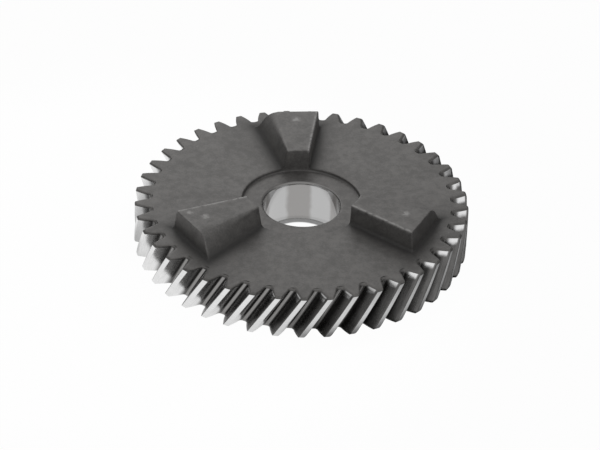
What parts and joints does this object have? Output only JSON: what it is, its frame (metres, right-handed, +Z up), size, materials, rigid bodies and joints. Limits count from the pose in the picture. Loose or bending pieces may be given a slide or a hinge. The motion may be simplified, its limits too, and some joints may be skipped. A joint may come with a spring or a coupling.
{
  "type": "helical gear",
  "caption": "Helical gear with a plain through bore, a shallow recess about it and raised driving lugs on its upper face.",
  "frame": {"origin": "middle of the bore at the lower, flat face", "axes": "+Z up the bore towards the lugs, +Y through the middle of one lug"},
  "size_m": [0.0518, 0.0518, 0.0108],
  "materials": {
    "gear_steel": "dark satin steel, rough as pressed on the faces, brighter on the tooth tips and in the bore"
  },
  "bodies": {
    "root": {"helical_gear": "gear_steel"}
  },
  "joints": []
}
